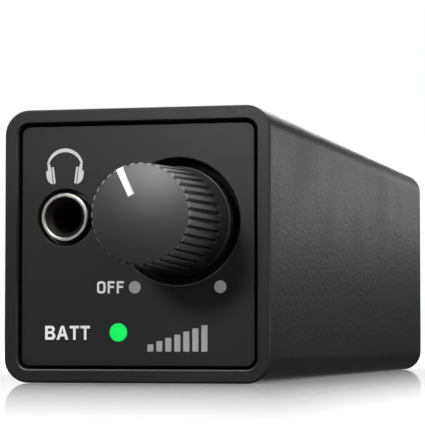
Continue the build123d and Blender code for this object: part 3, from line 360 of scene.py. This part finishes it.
def lit_lens():
    """Clear light pipe glowing green from the LED behind it."""
    material, tree, shader = new_material("lit_light_pipe")
    haze = noise(tree, place(tree), 1400.0, 2.0, 0.5)
    tree.links.new(tint(tree, haze, (0.0, 0.3, 0.04), (0.0, 0.36, 0.06)), shader.inputs["Base Color"])
    green_light = tint(tree, haze, (0.0006, 0.93, 0.110), (0.002, 1.0, 0.125))
    tree.links.new(green_light, shader.inputs["Emission Color"])
    tree.links.new(spread(tree, haze, 0.25, 0.4), shader.inputs["Roughness"])
    shader.inputs["Emission Strength"].default_value = 0.57
    shader.inputs["Specular IOR Level"].default_value = 0.2
    return material


def board_mask():
    """Green solder mask with faint copper tracks under it."""
    material, tree, shader = new_material("solder_mask")
    at = place(tree)
    tracks = put(tree, "ShaderNodeTexBrick", {"Vector": at},
                 {"Scale": 300.0, "Mortar Size": 0.06, "Color1": (0, 0, 0, 1), "Color2": (0.2, 0.2, 0.2, 1),
                  "Mortar": (1, 1, 1, 1)}).outputs["Color"]
    weave = noise(tree, at, 3500.0, 2.0, 0.5)
    wire(tree, shader, tint(tree, tracks, (0.008, 0.075, 0.03), (0.02, 0.14, 0.05)),
         spread(tree, weave, 0.22, 0.38), bump(tree, tracks, 1.0, 0.02 * MM))
    return material


def cell_wrap(name, nub_y, way):
    """Wrapped battery cell: dark sleeve, a copper-coloured band at the positive end and bare steel ends."""
    nub_end, band_end, wrap_end = 1.15 * MM, 13.0 * MM, 44.2 * MM
    material, tree, shader = new_material(name)
    at = place(tree)
    depth = sums(tree, "MULTIPLY", sums(tree, "SUBTRACT", xyz(tree, at)["Y"], nub_y), way)
    nub = sums(tree, "LESS_THAN", depth, nub_end)
    steel = sums(tree, "ADD", nub, sums(tree, "GREATER_THAN", depth, wrap_end))
    band = sums(tree, "LESS_THAN", depth, band_end)
    wrap = tint(tree, band, (0.016, 0.018, 0.024), (0.42, 0.19, 0.075))
    scuffs = noise(tree, at, 700.0, 4.0)
    wire(tree, shader, overlay(tree, steel, wrap, grey(0.6)), spread(tree, scuffs, 0.22, 0.42),
         bump(tree, scuffs, 1.0, 0.004 * MM))
    tree.links.new(steel, shader.inputs["Metallic"])
    return material


def foam_pad():
    """Open-cell foam."""
    material, tree, shader = new_material("foam")
    pores = put(tree, "ShaderNodeTexVoronoi", {"Vector": place(tree)}, {"Scale": 2600.0}).outputs["Distance"]
    wire(tree, shader, tint(tree, pores, grey(0.006), grey(0.03)), spread(tree, pores, 0.85, 0.98),
         bump(tree, pores, 1.0, 0.15 * MM))
    return material


# ---------------------------------------------------------------- finishes of the CAD nodes
def dress(material, *names):
    """Gives the named CAD nodes one material."""
    for name in names:
        nodes[name].data.materials.clear()
        nodes[name].data.materials.append(material)


dress(coated("grained_coat", 0.009, 1.0, 0.38), "sleeve", "battery_door")
dress(panel_plastic("front_panel_plastic", PANEL_Y, 1.0), "front_panel")
dress(panel_plastic("rear_panel_plastic", REAR_FACE_Y, -1.0), "rear_panel")
dress(socket_metal(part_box("phones_socket_bushing")[0].y), "phones_socket_bushing")
dress(knob_plastic(), "knob")
dress(printed("pointer_paint", 0.90), "knob_pointer")
dress(lit_lens(), "light_pipe")
dress(metal("nickel", (0.62, 0.60, 0.55), 0.20, streak=(1.0, 40.0, 1.0)),
      "volume_bushing", "volume_nut", "input_release_tab")
dress(metal("bright_steel", (0.56, 0.56, 0.57), 0.28),
      "volume_washer", "battery_springs", "mode_switch_body")
dress(metal("pot_metal", grey(0.50), 0.35, streak=(1.0, 1.0, 12.0)), "volume_shaft", "volume_pot_body")
dress(metal("contact_brass", (0.72, 0.52, 0.22), 0.25),
      "volume_terminals", "phones_socket_contacts", "header_pins", "input_xlr_contacts",
      "input_trs_contacts", "battery_contacts")
dress(moulded("black_plastic", grey(0.010), 0.40),
      "volume_wiper", "power_switch_body", "phones_socket_body", "header_blocks", "battery_tray",
      "input_socket_housing", "input_socket_core", "mode_switch_slider")
dress(moulded("resistive_track", (0.03, 0.022, 0.018), 0.5), "volume_track", "chip_resistors")
dress(moulded("led_package", (0.75, 0.73, 0.62), 0.3), "battery_led")
dress(board_mask(), "front_board", "main_board", "input_board")
dress(moulded("chip_epoxy", grey(0.012), 0.55), "amplifier_chips", "boost_inductor")
dress(metal("capacitor_can", (0.55, 0.56, 0.58), 0.3, streak=(1.0, 1.0, 20.0)), "electrolytic_capacitors")
dress(cell_wrap("cell_wrap_left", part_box("battery_left")[1].y, -1.0), "battery_left")
dress(cell_wrap("cell_wrap_right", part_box("battery_right")[0].y, 1.0), "battery_right")
dress(foam_pad(), "battery_door_foam")
dress(coated("clip_coat", 0.012, 0.35, 0.34, cell=0.3 * MM, depth=0.012 * MM), "belt_clip")
dress(metal("black_oxide", grey(0.05), 0.38), "rear_panel_screws", "input_socket_screws", "belt_clip_screws")


# ---------------------------------------------------------------- printed marks
# outlines are in millimetres, in the X-Z plane
PRINT_T = 0.02 * MM


def arc(x, z, radius, start, end, steps):
    """Points on an arc, angles in degrees from +X towards +Z."""
    turns = [math.radians(start + (end - start) * i / steps) for i in range(steps + 1)]
    return [(x + radius * math.cos(t), z + radius * math.sin(t)) for t in turns]


def rounded(x0, z0, x1, z1, radii):
    """Rounded rectangle. Radii are for the lower right, upper right, upper left and lower left corners."""
    corners = ((x1, z0, -1, 1, 270), (x1, z1, -1, -1, 0), (x0, z1, 1, -1, 90), (x0, z0, 1, 1, 180))
    points = []
    for (x, z, sx, sz, start), r in zip(corners, radii):
        if r:
            points += arc(x + sx * r, z + sz * r, r, start, start + 90, 8)
        else:
            points.append((x, z))
    return points


def flat_mark(name, loops, face_y, material, out=-1):
    """A thin printed shape on a panel that faces out along Y. Loops inside others are holes."""
    curve = bpy.data.curves.new(name, "CURVE")
    curve.dimensions = "2D"
    curve.fill_mode = "BOTH"
    curve.extrude = PRINT_T / 2
    for loop in loops:
        spline = curve.splines.new("POLY")
        spline.points.add(len(loop) - 1)
        for point, (x, z) in zip(spline.points, loop):
            point.co = (x * MM, z * MM, 0, 1)
        spline.use_cyclic_u = True
    outline = bpy.data.objects.new(name + "_outline", curve)
    bpy.context.scene.collection.objects.link(outline)
    mesh = bpy.data.meshes.new_from_object(outline.evaluated_get(bpy.context.evaluated_depsgraph_get()))
    bpy.data.objects.remove(outline)
    mesh.name = name
    upright = Matrix.Rotation(math.pi / 2, 4, "X")
    mesh.transform(Matrix.Translation((0, face_y + out * PRINT_T / 2, 0)) @ upright)
    mesh.materials.clear()
    mesh.materials.append(material)
    piece = bpy.data.objects.new(name, mesh)
    bpy.context.scene.collection.objects.link(piece)
    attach(piece, "amplifier")


def letter(kind, x, z, w, h, t):
    """Outline loops of a plain block capital O, F, T, A or B with strokes t wide."""
    if kind == "O":
        r = 0.36 * w
        return [rounded(x, z, x + w, z + h, (r,) * 4),
                rounded(x + t, z + t, x + w - t, z + h - t, (r - t * 0.7,) * 4)]
    if kind == "F":
        m = z + 0.44 * h
        return [[(x, z), (x + t, z), (x + t, m), (x + 0.9 * w, m), (x + 0.9 * w, m + t), (x + t, m + t),
                 (x + t, z + h - t), (x + w, z + h - t), (x + w, z + h), (x, z + h)]]
    if kind == "T":
        c = x + w / 2
        return [[(c - t / 2, z), (c + t / 2, z), (c + t / 2, z + h - t), (x + w, z + h - t), (x + w, z + h),
                 (x, z + h), (x, z + h - t), (c - t / 2, z + h - t)]]
    if kind == "A":
        c = x + w / 2
        s = 1.12 * t
        bar = 0.24 * h
        lean = (w / 2 - s / 2) / h
        top = bar + t
        outer = [(x, z), (x + s, z), (x + s + lean * bar, z + bar), (x + w - s - lean * bar, z + bar),
                 (x + w - s, z), (x + w, z), (c + s / 2, z + h), (c - s / 2, z + h)]
        return [outer, [(x + s + lean * top, z + top), (x + w - s - lean * top, z + top), (c, z + h * 0.86)]]
    # B has a hole in each of its two bowls
    middle = z + 0.52 * h
    outer = [(x, z)] + arc(x + w - 0.32 * w, z + 0.26 * h, 0.26 * h, 270, 420, 10)
    outer += arc(x + w - 0.36 * w, z + h - 0.24 * h, 0.24 * h, -55, 90, 10) + [(x, z + h)]
    low = rounded(x + t, z + t, x + w - t, middle - t / 2, (0.14 * h, 0.14 * h, 0, 0))
    high = rounded(x + t, middle + t / 2, x + w - 1.15 * t, z + h - t, (0.12 * h, 0.12 * h, 0, 0))
    return [outer, low, high]


def word(name, text, x, z, widths, gap, h, t):
    """A row of letters from x to the right, each with its own width."""
    loops = []
    for kind, w in zip(text, widths):
        loops += letter(kind, x, z, w, h, t)
        x += w + gap
    flat_mark(name, loops, PANEL_Y, LEGEND)


LEGEND = printed("legend_ink", 0.70)
DOT_INK = printed("dot_ink", 0.265)
GREY_INK = printed("grey_ink", 0.25)
SYMBOL_INK = printed("symbol_ink", 0.45)

# dots at the two ends of the knob's turn
STOP_TURN = 146.0
DOT_RING = 9.7
DOT_R = 0.77
for side, name in ((-1, "off_dot"), (1, "full_dot")):
    turn = math.radians(side * STOP_TURN)
    spot = arc(KNOB_X + DOT_RING * math.sin(turn), KNOB_Z + DOT_RING * math.cos(turn), DOT_R, 0, 352.5, 47)
    flat_mark(name, [spot], PANEL_Y, DOT_INK)
word("off_word", "OFF", x=-5.07, z=11.07, widths=(1.09, 0.90, 0.90), gap=0.275, h=1.5, t=0.27)
word("battery_word", "BATT", x=-11.78, z=5.35, widths=(1.30, 1.55, 1.22, 1.22), gap=0.17, h=1.73, t=0.33)

# rising volume bars
BAR_COUNT = 7
BAR_X, BAR_Z = 1.4, 3.9
BAR_W, BAR_PITCH, BAR_H, BAR_RISE = 0.76, 1.14, 0.9, 0.39
bars = []
for i in range(BAR_COUNT):
    left = BAR_X + i * BAR_PITCH
    bars.append(rounded(left, BAR_Z, left + BAR_W, BAR_Z + BAR_H + BAR_RISE * i, (0.12,) * 4))
flat_mark("volume_bars", bars, PANEL_Y, GREY_INK)

# headphone symbol; the lists hold its right half, the first from under the band round the cup to its top
ICON_X = -9.28
YOKE_AND_CUP = ((1.96, 27.20), (1.88, 26.83), (1.80, 26.78), (1.74, 26.17), (1.65, 25.41), (1.57, 24.68),
                (1.81, 24.77), (2.11, 24.99), (2.35, 25.41), (2.45, 25.98), (2.43, 26.35), (2.21, 26.35))
PAD = ((1.70, 26.81), (1.47, 26.83), (1.21, 24.85), (1.45, 24.68))
band_and_cups = arc(0, 26.48, 2.2, 159.5, 20.5, 24) + list(YOKE_AND_CUP)
band_and_cups += arc(0, 26.75, 2.386, 15.5, 164.5, 30) + [(-x, z) for x, z in reversed(YOKE_AND_CUP)]
icon = [band_and_cups, list(PAD), [(-x, z) for x, z in reversed(PAD)]]
icon = [[(ICON_X + x, z) for x, z in loop] for loop in icon]
flat_mark("headphone_symbol", icon, PANEL_Y, SYMBOL_INK)

# two circles for stereo and one for mono, beside the rear switch
SWITCH_Z = 4.9
RING_R, RING_HOLE_R = 0.8, 0.6


def rings(*centres):
    """Thin circles round the given points."""
    loops = []
    for x, z in centres:
        loops += [arc(x, z, RING_R, 0, 350, 35), arc(x, z, RING_HOLE_R, 0, 350, 35)]
    return loops


flat_mark("stereo_mark", rings((-4.2, SWITCH_Z), (-6.1, SWITCH_Z)), REAR_FACE_Y, LEGEND, 1)
flat_mark("mono_mark", rings((4.2, SWITCH_Z)), REAR_FACE_Y, LEGEND, 1)


# ---------------------------------------------------------------- floor and backdrop
# the mirror image ends at this distance in front, and sooner beside the object and behind it
MIRROR_REACH = 140 * MM
MIRROR_SHARE = 0.75
SIDE_FADE = 4.4
BACK_FADE = 6.0

# the sheet's own white grows from the object outwards
WHITE_NEAR, WHITE_FAR, WHITE_REACH = 0.34, 1.05, 380 * MM

# the drop keeps the floor and the sleeve's underside out of one plane
FLOOR_HALF = 6.0
FLOOR_DROP = 0.02 * MM


def floor_material():
    """White acrylic, clear from below, with a mirror image that fades out away from the object."""
    material, tree, surface = bare_material("white_acrylic")
    at = xyz(tree, place(tree))
    ahead = sums(tree, "SUBTRACT", FRONT_Y, at["Y"])
    behind = sums(tree, "MULTIPLY", sums(tree, "SUBTRACT", at["Y"], BACK_Y), BACK_FADE)
    ahead = sums(tree, "MAXIMUM", ahead, behind)
    beside = sums(tree, "SUBTRACT", sums(tree, "ABSOLUTE", at["X"]), SLEEVE_HALF)
    away = sums(tree, "MAXIMUM", ahead, sums(tree, "MULTIPLY", beside, SIDE_FADE))
    fade = spread(tree, away, 1.0, 0.0, 0.0, MIRROR_REACH)
    fresnel = put(tree, "ShaderNodeFresnel", values={"IOR": 1.45}).outputs[0]
    share = sums(tree, "MULTIPLY", sums(tree, "MULTIPLY", fade, fresnel), MIRROR_SHARE)
    paper = put(tree, "ShaderNodeBsdfDiffuse", values={"Color": (0.18, 0.18, 0.18, 1)})
    white = spread(tree, away, WHITE_NEAR, WHITE_FAR, 0.0, WHITE_REACH)
    sheet = put(tree, "ShaderNodeEmission", {"Strength": white})
    lit = put(tree, "ShaderNodeAddShader", {0: paper.outputs[0], 1: sheet.outputs[0]})
    mirror = put(tree, "ShaderNodeBsdfGlossy", values={"Color": (1, 1, 1, 1), "Roughness": 0.04})
    mixed = put(tree, "ShaderNodeMixShader", {"Fac": share, 1: lit.outputs[0], 2: mirror.outputs[0]})
    clear = put(tree, "ShaderNodeBsdfTransparent")
    below = put(tree, "ShaderNodeNewGeometry").outputs["Backfacing"]
    whole = put(tree, "ShaderNodeMixShader", {"Fac": below, 1: mixed.outputs[0], 2: clear.outputs[0]})
    tree.links.new(whole.outputs[0], surface)
    return material


def glow_material():
    """Plain white that gives off light."""
    material, tree, surface = bare_material("backdrop_white")
    glowing = put(tree, "ShaderNodeEmission", values={"Color": (1, 1, 1, 1), "Strength": 1.0})
    tree.links.new(glowing.outputs[0], surface)
    return material


floor_mesh = bpy.data.meshes.new("floor")
shape = bmesh.new()
bmesh.ops.create_grid(shape, x_segments=1, y_segments=1, size=FLOOR_HALF)
shape.to_mesh(floor_mesh)
shape.free()
floor_mesh.materials.append(floor_material())
floor = bpy.data.objects.new("floor", floor_mesh)
bpy.context.scene.collection.objects.link(floor)
floor.location.z = -FLOOR_DROP
floor.visible_glossy = False
floor.visible_diffuse = False
floor.visible_shadow = False

# white card behind the object, seen only as a reflection
CARD_LEFT, CARD_RIGHT, CARD_Y, CARD_TOP = -2.2, -0.02, 1.6, 0.8
backdrop_mesh = bpy.data.meshes.new("backdrop")
card_corners = [(CARD_LEFT, CARD_Y, 0), (CARD_RIGHT, CARD_Y, 0), (CARD_RIGHT, CARD_Y, CARD_TOP),
                (CARD_LEFT, CARD_Y, CARD_TOP)]
backdrop_mesh.from_pydata(card_corners, [], [(0, 1, 2, 3)])
backdrop_mesh.materials.append(glow_material())
backdrop = bpy.data.objects.new("backdrop", backdrop_mesh)
bpy.context.scene.collection.objects.link(backdrop)
backdrop.visible_camera = False
backdrop.visible_diffuse = False
backdrop.visible_shadow = False


# ---------------------------------------------------------------- lights, surroundings and camera
def soft_light(name, azimuth, elevation, distance, width, height, power, aim=(0, 0, 0.015)):
    """Softbox at an azimuth, 0 at the front and 90 at the right, and an elevation from the aim point.

    Angles are in degrees, lengths in metres and the power in watts.
    """
    lamp = bpy.data.lights.new(name, "AREA")
    lamp.shape = "RECTANGLE"
    lamp.size = width
    lamp.size_y = height
    lamp.energy = power
    holder = bpy.data.objects.new(name, lamp)
    bpy.context.scene.collection.objects.link(holder)
    a, e = math.radians(azimuth), math.radians(elevation)
    back = Vector((math.sin(a) * math.cos(e), -math.cos(a) * math.cos(e), math.sin(e)))
    holder.location = Vector(aim) + back * distance
    holder.rotation_mode = "QUATERNION"
    holder.rotation_quaternion = (-back).to_track_quat("-Z", "Y")
    holder.visible_camera = False


# points that the lights aim at
NEAR_FRONT = (0, -0.06, 0.02)
KNOB_FACE = (0.0052, -0.0777, 0.0199)
RIGHT_SIDE = (0.0185, 0, 0.02)
soft_light("overhead", 0, 90, 0.9, 1.2, 1.2, 8.0)
soft_light("top_card", 90, 83.6, 0.906, 0.14, 0.70, 4.6, aim=(0, -0.08, 0))
soft_light("front_key", -11.2, 19, 0.25, 0.045, 0.045, 0.317, aim=KNOB_FACE)
soft_light("left_fill", -58, 35, 1.0, 0.8, 0.8, 6.6, aim=NEAR_FRONT)
soft_light("right_fill", 50, 24, 1.0, 0.9, 0.8, 10.0, aim=NEAR_FRONT)
soft_light("right_card", 72, 60, 0.6, 0.2, 0.2, 2.2, aim=NEAR_FRONT)
soft_light("left_rim", -106, 27, 0.5, 0.15, 0.40, 1.5, aim=(0, -0.07, 0.02))
soft_light("side_card", 84, 4, 0.8, 0.5, 0.16, 1.2)
soft_light("rear_fill", 205, 35, 0.9, 0.8, 0.8, 6.0)
soft_light("under_fill", 205, -38, 1.0, 0.8, 0.8, 2.0)
soft_light("rear_right_card", 169.6, 6.9, 0.512, 0.26, 0.078, 0.071, aim=RIGHT_SIDE)

# surroundings: white where the camera sees them, dim for lighting and darkest straight below
DIM_ABOVE, DIM_BELOW, STRAIGHT_DOWN = 0.036, 0.082, 0.15
world = bpy.data.worlds.new("studio")
bpy.context.scene.world = world
world.use_nodes = True
air = world.node_tree
background = air.nodes["Background"]
rays = put(air, "ShaderNodeLightPath")
rise = xyz(air, put(air, "ShaderNodeTexCoord").outputs["Generated"])["Z"]
dim = spread(air, rise, DIM_BELOW, DIM_ABOVE, -0.20, -0.10)
dim = sums(air, "MULTIPLY", dim, spread(air, rise, STRAIGHT_DOWN, 1.0, -0.7, -0.25))
glow = put(air, "ShaderNodeMix", {"Factor": rays.outputs["Is Camera Ray"], "A": dim}, {"B": 1.0})
air.links.new(glow.outputs["Result"], background.inputs["Strength"])
background.inputs["Color"].default_value = (1, 1, 1, 1)
bpy.context.scene.view_settings.view_transform = "Standard"

# angles in degrees, and the focal length and film width in millimetres
CAMERA_AT = (74.307 * MM, -321.44 * MM, 5.814 * MM)
CAMERA_TILT, CAMERA_TURN = 93.21, 13.92
FOCAL_LENGTH, FILM_WIDTH = 186.52235, 36.0
lens = bpy.data.cameras.new("camera")
lens.sensor_width = FILM_WIDTH
lens.lens = FOCAL_LENGTH
lens.clip_start = 0.01
lens.clip_end = 20.0
camera = bpy.data.objects.new("camera", lens)
bpy.context.scene.collection.objects.link(camera)
camera.location = CAMERA_AT
camera.rotation_euler = (math.radians(CAMERA_TILT), 0, math.radians(CAMERA_TURN))
bpy.context.scene.camera = camera
